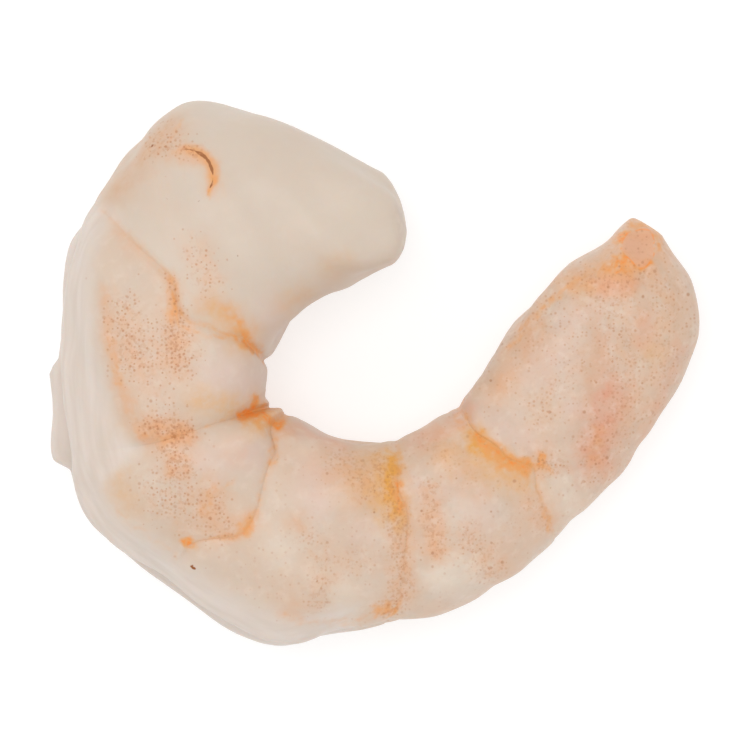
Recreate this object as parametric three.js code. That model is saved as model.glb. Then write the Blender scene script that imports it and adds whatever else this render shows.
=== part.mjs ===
// A white shrimp, cooked, peeled and deveined: the tail meat of one animal in one piece, without head,
// shell, legs or tail fan. It lies on one flank, curled into a C with its mouth up and to the right as seen
// from above, and its back, the outer side of the C, is slit along the vein.
// Millimetres, +Z up. The shrimp lies on z = 0, and the origin is under the middle of its outline.

import * as THREE from "three";

// One ring round the body for each place where the outline changes, from the head cut to the tail tip.
// back and belly are where the ring meets the outer and the inner edge of the C, seen from above.
// width is the body's thickness across that line, from flank to flank.
const RINGS = [
  { back: [0.1, 15.1], belly: [0.7, 8.2], width: 8.4 }, // head cut
  { back: [-4.5, 17.7], belly: [-2.2, 6.9], width: 11.2 }, // neck meat
  { back: [-9.9, 20.0], belly: [-4.4, 5.6], width: 12.8 }, // front edge of the first segment
  { back: [-15.8, 20.2], belly: [-6.1, 4.5], width: 13.8 }, // middle of the first segment
  { back: [-21.1, 14.7], belly: [-7.4, 2.8], width: 14.2 }, // joint 1
  { back: [-24.5, 8.2], belly: [-8.1, 1.1], width: 14.4 }, // middle of the second segment
  { back: [-24.9, -5.3], belly: [-8.9, -1.8], width: 14.2 }, // joint 2
  { back: [-22.9, -11.6], belly: [-7.3, -2.6], width: 13.9 }, // middle of the third segment
  { back: [-16.9, -17.0], belly: [-6.4, -3.45], width: 13.4 }, // joint 3
  { back: [-9.1, -21.3], belly: [-3.9, -5.0], width: 13.0 }, // first third of the fourth segment
  { back: [-3.3, -20.6], belly: [-0.5, -5.3], width: 12.5 }, // second third of the fourth segment
  { back: [1.9, -19.4], belly: [3.3, -4.3], width: 11.8 }, // joint 4
  { back: [8.3, -16.7], belly: [5.6, -2.6], width: 11.4 }, // middle of the fifth segment
  { back: [14.9, -11.8], belly: [7.6, 0.0], width: 10.8 }, // joint 5
  { back: [20.1, -5.6], belly: [9.7, 3.1], width: 10.4 }, // first third of the tail segment
  { back: [24.2, 1.7], belly: [13.3, 7.0], width: 9.6 }, // second third of the tail segment
  { back: [24.3, 6.8], belly: [16.8, 9.6], width: 7.6 }, // end of the tail segment
  { back: [21.95, 10.6], belly: [18.0, 10.6], width: 4.8 }, // tail tip
];

// Where two segments meet. A joint starts from a ring, and its line says how far it lies tailward of that
// ring, in mm, at some shares of the way from belly (0) to back (1). It bends most at the hinge on the flank.
// fold is how deep the belly folds in there.
const JOINTS = [
  { ring: 4, fold: 0.6, line: [[0, 2.4], [0.15, 2.6], [0.3, 3.5], [0.44, 4.4], [0.54, 2.5], [1, 2.1]] },
  { ring: 6, fold: 1.0, line: [[0, 1.4], [0.26, 1.8], [0.48, 2.3], [1, 1.4]] },
  { ring: 8, fold: 0.2, line: [[0, -1.2], [0.1, -1.4], [0.22, 0.4], [0.54, 2.0], [0.74, -0.5], [1, -0.6]] },
  { ring: 11, fold: 0.15, line: [[0, -1.9], [0.27, -1.7], [0.48, -0.6], [0.82, -0.7], [1, -1.8]] },
  { ring: 13, fold: 0.2, line: [[0, -3], [0.2, -3], [0.45, -1.8], [0.58, -0.4], [0.7, -1.1], [1, -1.8]] },
];

// How finely the surface is divided: rows of each segment from neck to tail, and columns round the body.
const SEGMENT_ROWS = [24, 16, 14, 16, 14, 22];
const CAP_ROWS = 6;
const COLUMNS = 46;
const ROW_CROWDING = 0.55; // how much closer the rows stand at the joints than between them
const COLUMN_CROWDING = 0.35; // and the columns at the back and belly than on the flanks

// The section of the body.
const SECTION_FULLNESS = 2.25; // 2 is an ellipse, more is fuller at the corners
const BACK_NARROWING = { head: 0.02, tail: 0.16 }; // how much narrower the back is than the belly
// The rounded end past the first ring, the dip in it, and how strongly it goes on tapering.
const HEAD_CAP = { reach: 1.7, hollow: 0.15, taper: 0.27 };
const TAIL_CAP = { reach: 1.4, hollow: 0, taper: 0.6 };
const NECK_LIFT = { height: 2.0, from: 0, to: 2.8 }; // both ends of the C stand clear of the surface
const TAIL_LIFT = { height: 2.5, from: 17, to: 13.6 };
const FLAT_SINK = 0.35; // how far the lowest flesh would reach under the surface that flattens it

// Relief, in mm.
const SEGMENT_SWELL = 0.4; // how far a segment stands proud between its joints
const SHORT_LENGTH = 4; // it stands out less where it is shorter than this, as at the belly
const OVERLAP_STEP = 0.22; // its tailward edge laps over the next one
const CREASE = { back: 0.12, flank: 0.35, halfWidth: 0.65 };
const LOBE = { height: 0.7, at: 0.24, spread: 0.17 }; // the round muscle above each leg's place
const BELLY_FURROW = { depth: 0.6, halfAngle: 0.3 };
const NECK_BUNDLES = { count: 5, height: 0.35, fade: 1.6 }; // muscles that the head cut shows
const VEIN_SLIT = { from: 4, to: 11.6, taper: 2.4, angle: 0.09, depth: 3.4, halfWidth: 1.25, lip: 0.3 };
// The far lip shows past the near one. It rises, swells and falls again over these ring numbers.
const FAR_LIP = { rise: [5.53, 5.6], swell: [5.8, 6.15], fall: [6.13, 6.33], heights: [0.8, 1.25] };
const FAR_LIP_CURL = { angle: -0.3, spread: 0.26 };
const SKIN_EDGE = { from: 4.05, to: 10.4, step: 0.3, ramp: 0.05 };
const TAIL_SCAR = { at: [20.0, 9.75], radius: 1.3, depth: 0.5, rim: 0.25 }; // where the fan was pulled off
const TIP_WAIST = { at: 16.5, spread: 0.4, depth: 0.5 }; // the back edge is drawn in below the tip
const TAIL_FOLD = { from: 14.2, to: 17, at: 0.13, depth: 0.4, halfWidth: 0.6 };
const UNEVENNESS = 0.12;

const LAST = RINGS.length - 1;
const LAST_SEGMENT = SEGMENT_ROWS.length - 1;
const QUARTER_TURN = Math.PI / 2;

const mix = (a, b, t) => a + (b - a) * t;
const hump = (x, halfWidth) => Math.exp(-((x / halfWidth) ** 2));

function smoothStep(from, to, x) {
  const t = Math.min(1, Math.max(0, (x - from) / (to - from)));
  return t * t * (3 - 2 * t);
}

// 1 inside the span and 0 outside, with soft ends.
const inside = (span, x, soft) =>
  smoothStep(span.from, span.from + soft, x) * (1 - smoothStep(span.to - soft, span.to, x));

// A smooth curve through one value of every ring (Catmull-Rom), at ring number u.
function alongRings(read, u) {
  const i = Math.min(LAST - 1, Math.max(0, Math.floor(u)));
  const f = u - i;
  const at = (k) => {
    if (k < 0) return 2 * read(RINGS[0]) - read(RINGS[1]);
    if (k > LAST) return 2 * read(RINGS[LAST]) - read(RINGS[LAST - 1]);
    return read(RINGS[k]);
  };
  const [a, b, c, d] = [at(i - 1), at(i), at(i + 1), at(i + 2)];
  const bend = (2 * a - 5 * b + 4 * c - d) * f * f + (3 * b - a - 3 * c + d) * f ** 3;
  return 0.5 * (2 * b + (c - a) * f + bend);
}

const backPoint = (u) =>
  new THREE.Vector2(alongRings((r) => r.back[0], u), alongRings((r) => r.back[1], u));
const bellyPoint = (u) =>
  new THREE.Vector2(alongRings((r) => r.belly[0], u), alongRings((r) => r.belly[1], u));
const widthAt = (u) => alongRings((r) => r.width, u);

// The point in plan at ring number u, a share t of the way from belly to back.
const planPoint = (u, t) => bellyPoint(u).lerp(backPoint(u), t);

// Millimetres along the body for one ring number, which is less at the belly than at the back.
function stretch(u, t) {
  const h = 0.2;
  return Math.max(1.2, planPoint(u + h, t).distanceTo(planPoint(u - h, t)) / (2 * h));
}

// The ring number of a joint's line at a share t from belly to back.
function jointLine(joint, t) {
  const next = Math.max(1, joint.line.findIndex(([share]) => share >= t));
  const [shareBefore, shiftBefore] = joint.line[next - 1];
  const [shareAfter, shiftAfter] = joint.line[next];
  const shift = mix(shiftBefore, shiftAfter, smoothStep(shareBefore, shareAfter, t));
  return joint.ring + shift / stretch(joint.ring, t);
}

// The ring numbers where a segment starts and ends, at a share t from belly to back.
function segmentSpan(segment, t) {
  const start = segment === 0 ? 0 : jointLine(JOINTS[segment - 1], t);
  const end = segment === LAST_SEGMENT ? LAST : jointLine(JOINTS[segment], t);
  return [start, end];
}

// How far from belly to back the pigmented skin reaches. Past it the slit has bared the muscle.
function skinReach(segment, f) {
  if (segment === 1) return mix(0.88, 0.6, f * f);
  if (segment === 2) return mix(0.6, 0.82, smoothStep(0, 0.35, f));
  return 0.82;
}

// How far the surface stands out from the plain section. The place is a share f along one segment and an
// angle v round the body: 0 at the back, a quarter turn on the upper flank and half a turn at the belly.
function relief(segment, f, v, u, plain) {
  const t = 0.5 + 0.5 * Math.cos(v);
  const [start, end] = segmentSpan(segment, t);
  const length = (end - start) * stretch(u, t);
  const bellySide = 1 - smoothStep(0.02, 0.45, t);
  const backSide = smoothStep(0.6, 0.98, t);
  const isEnd = segment === 0 || segment === LAST_SEGMENT;
  const fullness = Math.min(1, length / SHORT_LENGTH);
  let out = (isEnd ? 0.5 : 1) * SEGMENT_SWELL * fullness * Math.sin(Math.PI * f) ** 0.8;
  if (segment < LAST_SEGMENT) out += OVERLAP_STEP * (1 - bellySide) * smoothStep(0.5, 0.95, f);

  // Round lobes of muscle stand above the places of the legs.
  if (segment > 0) {
    const share = segment === LAST_SEGMENT ? 0.3 : fullness;
    out += share * LOBE.height * hump(t - LOBE.at, LOBE.spread) * hump(f - 0.5, 0.42);
  }

  // A crease follows each joint, deepest where the belly folds.
  const creases = [
    [JOINTS[segment - 1], f * length],
    [JOINTS[segment], (1 - f) * length],
  ];
  for (const [joint, distance] of creases) {
    if (!joint) continue;
    const depth = mix(mix(CREASE.flank, joint.fold, bellySide), CREASE.back, backSide);
    out -= depth * hump(distance, CREASE.halfWidth);
  }

  // The belly has a furrow along its middle, where the nerve cord ran.
  const fromBelly = Math.abs(Math.PI - v);
  out -= BELLY_FURROW.depth * hump(fromBelly, BELLY_FURROW.halfAngle) * inside({ from: 1, to: 15.5 }, u, 1);

  // The head cut shows the ends of the muscles, as a ring of lobes.
  const bundles = Math.cos(NECK_BUNDLES.count * v + 0.8);
  out += NECK_BUNDLES.height * bundles * (1 - smoothStep(0, NECK_BUNDLES.fade, u));

  // The slit that took out the vein, between lips that its cut lifted.
  const signed = v > Math.PI ? v - 2 * Math.PI : v;
  const fromSlit = Math.abs((signed - VEIN_SLIT.angle) * widthAt(u)) / 2;
  const open = inside(VEIN_SLIT, u, VEIN_SLIT.taper);
  out -= VEIN_SLIT.depth * open * Math.exp(-((fromSlit / VEIN_SLIT.halfWidth) ** 1.4));
  out += VEIN_SLIT.lip * open * hump(fromSlit - 2.3, 1.1);

  // On the far side the lip has curled out for a stretch.
  const lipShare = smoothStep(...FAR_LIP.rise, u) * (1 - smoothStep(...FAR_LIP.fall, u));
  const lipHeight = lipShare * mix(...FAR_LIP.heights, smoothStep(...FAR_LIP.swell, u));
  out += lipHeight * hump(signed - FAR_LIP_CURL.angle, FAR_LIP_CURL.spread);

  // The pigmented skin ends in a low step on either side of the slit.
  const reach = skinReach(segment, f);
  const bare = smoothStep(reach - SKIN_EDGE.ramp, reach + SKIN_EDGE.ramp, t);
  out -= SKIN_EDGE.step * bare * inside(SKIN_EDGE, u, 0.4);

  // A fold runs along the belly edge of the tail segment up to its tip.
  const fold = (t - TAIL_FOLD.at) * backPoint(u).distanceTo(bellyPoint(u));
  out -= TAIL_FOLD.depth * hump(fold, TAIL_FOLD.halfWidth) * inside(TAIL_FOLD, u, 1);
  out -= TIP_WAIST.depth * backSide * hump(u - TIP_WAIST.at, TIP_WAIST.spread);

  // The tail fan's socket left a small round dish with a rim, on the upper side of the tip.
  const { x, y, z } = plain;
  const fromScar = Math.hypot(x - TAIL_SCAR.at[0], y - TAIL_SCAR.at[1]) / TAIL_SCAR.radius;
  const upper = smoothStep(0, 0.5, Math.sin(v));
  out += upper * (TAIL_SCAR.rim * hump(fromScar - 1, 0.3) - TAIL_SCAR.depth * hump(fromScar, 0.75));

  // Meat is nowhere quite even.
  const waves =
    Math.sin(0.61 * x + 0.47 * y + 0.9 * z + 0.7) +
    0.7 * Math.sin(0.93 * y - 0.38 * x - 0.71 * z + 2.1) +
    0.5 * Math.sin(1.31 * x + 0.83 * z + 1.07 * y + 4);
  return out + UNEVENNESS * waves;
}

// A point of the surface. size shrinks the ring towards its middle, and past moves it along the body, which
// together make the rounded ends.
function surfacePoint(row, v) {
  const t = 0.5 + 0.5 * Math.cos(v);
  const [start, end] = segmentSpan(row.segment, t);
  const u = mix(start, end, row.f);
  const back = backPoint(u);
  const belly = bellyPoint(u);
  const middle = back.clone().add(belly).multiplyScalar(0.5);
  const outward = back.clone().sub(belly);
  const halfDepth = outward.length() / 2;
  outward.normalize();
  const tailward = planPoint(u + 0.1, 0.5).sub(planPoint(u - 0.1, 0.5)).normalize();
  const halfWidth = widthAt(u) / 2;
  const c = Math.cos(v);
  const s = Math.sin(v);
  const full = (x) => Math.sign(x) * Math.abs(x) ** (2 / SECTION_FULLNESS);
  const narrowing = mix(BACK_NARROWING.head, BACK_NARROWING.tail, u / LAST);
  const across = halfDepth * full(c);
  const up = halfWidth * full(s) * (1 - narrowing * c);
  const normal = new THREE.Vector2(c / halfDepth, s / halfWidth).normalize();
  const plain = { x: middle.x + outward.x * across, y: middle.y + outward.y * across, z: up };
  const out = relief(row.segment, row.f, v, u, plain) * row.size;
  const reach = across * row.size + normal.x * out;
  const neckLift = NECK_LIFT.height * (1 - smoothStep(NECK_LIFT.from, NECK_LIFT.to, u));
  const tailLift = TAIL_LIFT.height * smoothStep(TAIL_LIFT.to, TAIL_LIFT.from, u);
  return new THREE.Vector3(
    middle.x + outward.x * reach + tailward.x * row.past,
    middle.y + outward.y * reach + tailward.y * row.past,
    up * row.size + normal.y * out + halfWidth - FLAT_SINK + neckLift + tailLift,
  );
}

// Rows of the grid from the head cut to the tail tip: a rounded cap, the segments and another cap.
function gridRows() {
  const cap = (i, shape, segment, f, way) => {
    const turn = (i / CAP_ROWS) * QUARTER_TURN;
    const size = Math.sin(turn) * (1 - shape.taper * Math.cos(turn));
    return { segment, f, size, past: way * (shape.reach * Math.cos(turn) - shape.hollow * (1 - size) ** 2) };
  };
  const list = [];
  for (let i = 0; i < CAP_ROWS; i++) list.push(cap(i, HEAD_CAP, 0, 0, -1));
  SEGMENT_ROWS.forEach((count, segment) => {
    for (let i = 0; i < count; i++) {
      const even = i / count;
      const f = even - (ROW_CROWDING / (2 * Math.PI)) * Math.sin(2 * Math.PI * even);
      list.push({ segment, f, size: 1, past: 0 });
    }
  });
  for (let i = CAP_ROWS; i >= 0; i--) list.push(cap(i, TAIL_CAP, LAST_SEGMENT, 1, 1));
  return list;
}

function bodyGeometry() {
  const grid = gridRows();
  const points = [surfacePoint(grid[0], 0)];
  for (const row of grid.slice(1, -1)) {
    for (let k = 0; k < COLUMNS; k++) {
      const even = (k / COLUMNS) * 2 * Math.PI;
      points.push(surfacePoint(row, even - (COLUMN_CROWDING / 2) * Math.sin(2 * even)));
    }
  }
  points.push(surfacePoint(grid[grid.length - 1], 0));

  const index = [];
  const lastRing = grid.length - 3;
  const at = (j, k) => 1 + j * COLUMNS + (k % COLUMNS);
  for (let k = 0; k < COLUMNS; k++) {
    index.push(0, at(0, k), at(0, k + 1));
    for (let j = 0; j < lastRing; j++) {
      index.push(at(j, k), at(j + 1, k + 1), at(j, k + 1));
      index.push(at(j, k), at(j + 1, k), at(j + 1, k + 1));
    }
    index.push(points.length - 1, at(lastRing, k + 1), at(lastRing, k));
  }

  // What would lie under the surface is flattened onto it.
  for (const p of points) p.z = Math.max(0, p.z);

  const geometry = new THREE.BufferGeometry().setFromPoints(points).setIndex(index);
  geometry.computeBoundingBox();
  const middle = geometry.boundingBox.getCenter(new THREE.Vector3());
  geometry.translate(-middle.x, -middle.y, 0);
  geometry.computeVertexNormals();
  return geometry;
}

const cookedFlesh = new THREE.MeshStandardMaterial({ color: 0xdcc8b6, roughness: 0.42, metalness: 0 });

const shrimp = new THREE.Mesh(bodyGeometry(), cookedFlesh);
shrimp.name = "peeled_shrimp";

const part = new THREE.Group();
part.add(shrimp);

export default part;
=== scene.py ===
import math

import bpy
import numpy as np
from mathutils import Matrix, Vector


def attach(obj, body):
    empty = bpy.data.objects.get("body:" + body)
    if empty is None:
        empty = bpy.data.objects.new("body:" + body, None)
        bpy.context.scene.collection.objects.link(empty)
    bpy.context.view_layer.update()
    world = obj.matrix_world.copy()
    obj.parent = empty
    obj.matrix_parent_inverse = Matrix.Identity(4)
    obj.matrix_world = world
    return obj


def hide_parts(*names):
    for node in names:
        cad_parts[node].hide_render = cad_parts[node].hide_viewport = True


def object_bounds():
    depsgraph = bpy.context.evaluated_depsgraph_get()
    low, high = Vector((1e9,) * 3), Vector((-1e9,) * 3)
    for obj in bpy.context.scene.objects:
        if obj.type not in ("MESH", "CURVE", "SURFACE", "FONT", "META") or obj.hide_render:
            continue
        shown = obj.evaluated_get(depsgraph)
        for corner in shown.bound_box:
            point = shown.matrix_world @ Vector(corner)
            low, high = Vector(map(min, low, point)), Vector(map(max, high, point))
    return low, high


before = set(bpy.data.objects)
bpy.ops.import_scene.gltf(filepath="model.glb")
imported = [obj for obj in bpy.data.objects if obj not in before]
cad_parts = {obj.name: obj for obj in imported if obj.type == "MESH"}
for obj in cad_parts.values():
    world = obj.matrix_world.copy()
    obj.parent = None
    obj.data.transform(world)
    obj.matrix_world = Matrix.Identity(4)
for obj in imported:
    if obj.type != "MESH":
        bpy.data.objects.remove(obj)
cad_low, cad_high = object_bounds()


# The table and the light
# The shrimp lies on a plain white table that is faintly lit from below, and is seen straight from above,
# through a long lens. Large soft boxes hang over it in a bright room, so that it has hardly a shadow.

def linear(hex_colour):
    """A colour written as sRGB hex, as the linear numbers that shaders take."""
    channels = [int(hex_colour[i:i + 2], 16) / 255 for i in (1, 3, 5)]
    return [c / 12.92 if c <= 0.04045 else ((c + 0.055) / 1.055) ** 2.4 for c in channels] + [1.0]


def add_node(tree, kind, settings=None, inputs=None):
    """Adds a node with its settings. An input takes a value, or the socket that it is linked from."""
    node = tree.nodes.new(kind)
    for name, value in (settings or {}).items():
        setattr(node, name, value)
    for name, value in (inputs or {}).items():
        if isinstance(value, bpy.types.NodeSocket):
            tree.links.new(value, node.inputs[name])
        else:
            node.inputs[name].default_value = value
    return node


mm = 0.001
table_side = 1.2
table_drop = 0.05 * mm  # so that the flesh's flat spots don't flicker against it
table_paint = bpy.data.materials.new("pale_table_paint")
table_paint.use_nodes = True
table_shader = table_paint.node_tree.nodes["Principled BSDF"]
table_shader.inputs["Base Color"].default_value = linear("#b4b4b4")
table_shader.inputs["Roughness"].default_value = 0.85
table_shader.inputs["Emission Color"].default_value = linear("#ffffff")
table_shader.inputs["Emission Strength"].default_value = 0.6

half_side = table_side / 2
corners = [(-half_side, -half_side), (half_side, -half_side), (half_side, half_side), (-half_side, half_side)]
table_mesh = bpy.data.meshes.new("table")
table_mesh.from_pydata([(x, y, -table_drop) for x, y in corners], [], [(0, 1, 2, 3)])
table_mesh.materials.append(table_paint)
table = bpy.data.objects.new("table", table_mesh)
bpy.context.scene.collection.objects.link(table)

# Each soft box: its place and the side of its square, in metres, its power in watts and its tint.
soft_boxes = {
    "overhead": ((-0.04, 0.06, 0.62), 0.40, 1.40, "#fffefc"),
    "key": ((-0.30, 0.24, 0.40), 0.34, 0.35, "#fffcf7"),
    "low": ((0.26, -0.30, 0.26), 0.36, 0.20, "#fbfdff"),
}
shrimp_middle = (cad_low + cad_high) / 2
for name, (lamp_place, side, power, lamp_colour) in soft_boxes.items():
    light = bpy.data.lights.new(name, "AREA")
    light.shape = "SQUARE"
    light.size = side
    light.energy = power
    light.color = linear(lamp_colour)[:3]
    lamp = bpy.data.objects.new(name, light)
    lamp.location = lamp_place
    lamp.rotation_euler = (shrimp_middle - Vector(lamp_place)).to_track_quat("-Z", "Y").to_euler()
    bpy.context.scene.collection.objects.link(lamp)

room = bpy.data.worlds.new("bright_room")
room.use_nodes = True
room.node_tree.nodes["Background"].inputs["Color"].default_value = linear("#ffffff")
room.node_tree.nodes["Background"].inputs["Strength"].default_value = 0.68
bpy.context.scene.world = room
bpy.context.scene.view_settings.view_transform = "Standard"

lens = bpy.data.cameras.new("camera")
lens.lens = 300
lens.clip_start = 0.01
view_width = 58 * mm  # what the picture's side takes in at the middle of the shrimp
camera = bpy.data.objects.new("camera", lens)
camera.location = shrimp_middle + Vector((0, 0, view_width * lens.lens / lens.sensor_width))
bpy.context.scene.collection.objects.link(camera)
bpy.context.scene.camera = camera


# The form of the meat
# The tail meat of one white shrimp, cooked, so that it has curled into a C. It lies on one flank. It is
# lofted from rings round the body, in mm, and has the relief of its segments, joints and muscles.

# back and belly are where a ring meets the outer and the inner edge of the C, seen from above, and width is
# the body's thickness across that line, from flank to flank.
rings = [
    # back x, y, belly x, y, width
    (0.1, 15.1, 0.7, 8.2, 8.4),  # head cut
    (-4.5, 17.7, -2.2, 6.9, 11.2),  # neck meat
    (-9.9, 20.0, -4.4, 5.6, 12.8),  # front edge of the first segment
    (-15.8, 20.2, -6.1, 4.5, 13.8),  # middle of the first segment
    (-21.1, 14.7, -7.4, 2.8, 14.2),  # joint 1
    (-24.5, 8.2, -8.1, 1.1, 14.4),  # middle of the second segment
    (-24.9, -5.3, -8.9, -1.8, 14.2),  # joint 2
    (-22.9, -11.6, -7.3, -2.6, 13.9),  # middle of the third segment
    (-16.9, -17.0, -6.4, -3.45, 13.4),  # joint 3
    (-9.1, -21.3, -3.9, -5.0, 13.0),  # first third of the fourth segment
    (-3.3, -20.6, -0.5, -5.3, 12.5),  # second third of the fourth segment
    (1.9, -19.4, 3.3, -4.3, 11.8),  # joint 4
    (8.3, -16.7, 5.6, -2.6, 11.4),  # middle of the fifth segment
    (14.9, -11.8, 7.6, 0.0, 10.8),  # joint 5
    (20.1, -5.6, 9.7, 3.1, 10.4),  # first third of the tail segment
    (24.2, 1.7, 13.3, 7.0, 9.6),  # second third of the tail segment
    (24.3, 6.8, 16.8, 9.6, 7.6),  # end of the tail segment
    (21.95, 10.6, 18.0, 10.6, 4.8),  # tail tip
]
ring_table = np.array(rings)
last_ring = len(rings) - 1

# A joint starts from a ring. Its line says how far it lies tailward of that ring, in mm, at some shares of
# the way from belly (0) to back (1), and fold is how deep the belly folds in there. Its stain says how wide
# (half, in mm) and how strong the orange is that gathers along it, again at shares from belly to back.
joints = [
    dict(ring=4, fold=0.45,
         line=[(0, 2.4), (0.15, 2.6), (0.3, 3.5), (0.44, 4.4), (0.54, 2.5), (1, 2.1)],
         stain=[(0, 0.4, 0.5), (0.08, 0.5, 0.7), (0.16, 0.45, 0.5), (0.24, 0.35, 0.36), (0.4, 0.35, 0.35),
                (0.45, 0.45, 0.45), (0.52, 0.5, 0.42), (0.58, 0.45, 0.3), (0.73, 0.45, 0.25),
                (0.92, 0.35, 0.2), (1, 0.3, 0)]),
    dict(ring=6, fold=0.5,
         line=[(0, 1.4), (0.26, 1.8), (0.48, 2.3), (1, 1.4)],
         stain=[(0, 0.6, 0.6), (0.08, 0.6, 0.8), (0.17, 0.45, 0.6), (0.24, 0.3, 0.3), (0.42, 0.3, 0.35),
                (0.5, 0.6, 0.3), (0.6, 0.4, 0)]),
    dict(ring=8, fold=0.2,
         line=[(0, -1.2), (0.1, -1.4), (0.22, 0.4), (0.54, 2.0), (0.74, -0.5), (1, -0.6)],
         stain=[(0, 0.5, 0.6), (0.08, 0.45, 0.5), (0.14, 0.5, 0.42), (0.25, 0.55, 0.45), (0.36, 0.5, 0.3),
                (0.45, 0.4, 0.38), (0.54, 0.7, 0.7), (0.6, 0.5, 0.45), (0.68, 0.25, 0.28), (0.73, 0.5, 0.75),
                (0.78, 0.3, 0)]),
    dict(ring=11, fold=0.15,
         line=[(0, -1.9), (0.27, -1.7), (0.48, -0.6), (0.82, -0.7), (1, -1.8)],
         stain=[(0, 0.35, 0.15), (0.12, 0.4, 0.3), (0.34, 0.4, 0.5), (0.5, 0.4, 0.28), (0.68, 0.4, 0.22),
                (0.84, 0.4, 0.25), (0.9, 0.55, 0.65), (0.96, 0.4, 0)]),
    dict(ring=13, fold=0.2,
         line=[(0, -3), (0.2, -3), (0.45, -1.8), (0.58, -0.4), (0.7, -1.1), (1, -1.8)],
         stain=[(0, 0.4, 0.3), (0.1, 0.45, 0.4), (0.2, 0.3, 0.45), (0.45, 0.35, 0.65), (0.54, 0.55, 0.8),
                (0.62, 0.3, 0.35), (0.8, 0.3, 0.3), (0.88, 0.4, 0.5), (0.94, 0.3, 0)]),
]

segment_rows = [84, 62, 56, 66, 56, 86]
cap_rows = 14
columns = 224
row_crowding = 0.55  # how much closer the rows stand at the joints than between them
column_crowding = 0.1  # and the columns at the back and belly than on the flanks

section_fullness = 2.25  # 2 is an ellipse, more is fuller at the corners
back_narrowing = (0.02, 0.16)  # how much narrower the back is than the belly, at the head and at the tail
# The rounded end past the first ring, the dip in it, and how strongly it goes on tapering.
head_cap = dict(reach=1.7, hollow=0.15, taper=0.27)
tail_cap = dict(reach=1.4, hollow=0, taper=0.6)
neck_lift = dict(height=2.0, start=0, end=2.8)  # both ends of the C stand clear of the table
tail_lift = dict(height=2.5, start=13.6, end=17)
flat_sink = 0.35  # how far the lowest flesh would reach under the table, which flattens it

segment_swell = 0.4  # how far a segment stands proud between its joints
short_length = 4  # it stands out less where it is shorter than this, as at the belly
overlap_step = 0.08  # its tailward edge laps over the next one
crease = dict(back=0.04, flank=0.1, half_width=0.45)
lobe = dict(height=0.7, at=0.24, spread=0.17, half_length=0.42)  # the muscle above each leg's place
belly_furrow = dict(start=1, end=15.5, depth=0.6, half_angle=0.3)
neck_bundles = dict(count=5, turn=0.8, height=0.35, fade=1.6)  # muscles that the head cut shows
vein_slit = dict(start=4, end=11.6, taper=2.4, angle=0.09, depth=3.4, half_width=1.25,
                 lip=0.3, lip_at=2.3, lip_half_width=1.1)
# The far lip shows past the near one. It rises, swells and falls again over these ring numbers.
far_lip = dict(rise=(5.53, 5.6), swell=(5.8, 6.15), fall=(6.13, 6.33), heights=(0.8, 1.25),
               angle=-0.3, spread=0.26)
skin_edge = dict(start=4.05, end=10.4, step=0.14, ramp=0.08)
# Where the fan was pulled off. The two spreads are shares of the radius.
tail_scar = dict(x=20.0, y=9.75, radius=1.3, depth=0.5, rim=0.25, rim_spread=0.3, dish_spread=0.75)
tip_waist = dict(at=16.5, spread=0.4, depth=0.5)  # the back edge is drawn in below the tip
tail_fold = dict(start=14.2, end=17, at=0.13, depth=0.4, half_width=0.6)
unevenness = 0.12
bare_softening = 0.85  # how much fainter creases and marks are on bare muscle
least_stretch = 1.2  # mm for one ring number, where the rings crowd at the belly

last_segment = len(segment_rows) - 1


def mix(a, b, t):
    return a + (b - a) * t


def hump(x, half_width):
    return np.exp(-((x / half_width) ** 2))


def smooth_step(start, end, x):
    t = np.clip((x - start) / (end - start), 0, 1)
    return t * t * (3 - 2 * t)


def inside(span, x, soft):
    """1 inside the span and 0 outside, with soft ends."""
    rise = smooth_step(span["start"], span["start"] + soft, x)
    return rise * (1 - smooth_step(span["end"] - soft, span["end"], x))


def profile(points, t, value=1):
    """A value of a list of (share, value, ...) points, at shares t, eased from one point to the next."""
    shares = np.array([p[0] for p in points], float)
    values = np.array([p[value] for p in points], float)
    after = np.clip(np.searchsorted(shares, t), 1, len(points) - 1)
    ease = smooth_step(shares[after - 1], shares[after], t)
    return mix(values[after - 1], values[after], ease)


def along_rings(column, u):
    """A smooth curve through one column of the rings (Catmull-Rom), at ring numbers u."""
    values = ring_table[:, column]
    padded = np.concatenate([[2 * values[0] - values[1]], values, [2 * values[-1] - values[-2]]])
    i = np.clip(np.floor(u).astype(int), 0, last_ring - 1)
    f = u - i
    a, b, c, d = padded[i], padded[i + 1], padded[i + 2], padded[i + 3]
    bend = (2 * a - 5 * b + 4 * c - d) * f**2 + (3 * b - a - 3 * c + d) * f**3
    return 0.5 * (2 * b + (c - a) * f + bend)


def plan_point(u, t):
    """The point in plan at ring number u, a share t of the way from belly to back."""
    x = mix(along_rings(2, u), along_rings(0, u), t)
    y = mix(along_rings(3, u), along_rings(1, u), t)
    return x, y


def stretch(u, t):
    """Millimetres along the body for one ring number, less at the belly than at the back."""
    h = 0.2
    x1, y1 = plan_point(u + h, t)
    x0, y0 = plan_point(u - h, t)
    return np.maximum(least_stretch, np.hypot(x1 - x0, y1 - y0) / (2 * h))


def joint_line(joint, t):
    return joint["ring"] + profile(joint["line"], t) / stretch(np.full_like(t, joint["ring"]), t)


# Rows of the grid, from the head cut to the tail tip: a rounded cap, the segments and another cap. A row
# has its segment, its share of the way along it, its size and how far it lies past the end.
grid_rows = []


def add_cap_row(i, cap, segment, f, way):
    turn = i / cap_rows * math.pi / 2
    size = math.sin(turn) * (1 - cap["taper"] * math.cos(turn))
    past = cap["reach"] * math.cos(turn) - cap["hollow"] * (1 - size) ** 2
    grid_rows.append((segment, f, size, way * past))


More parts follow.
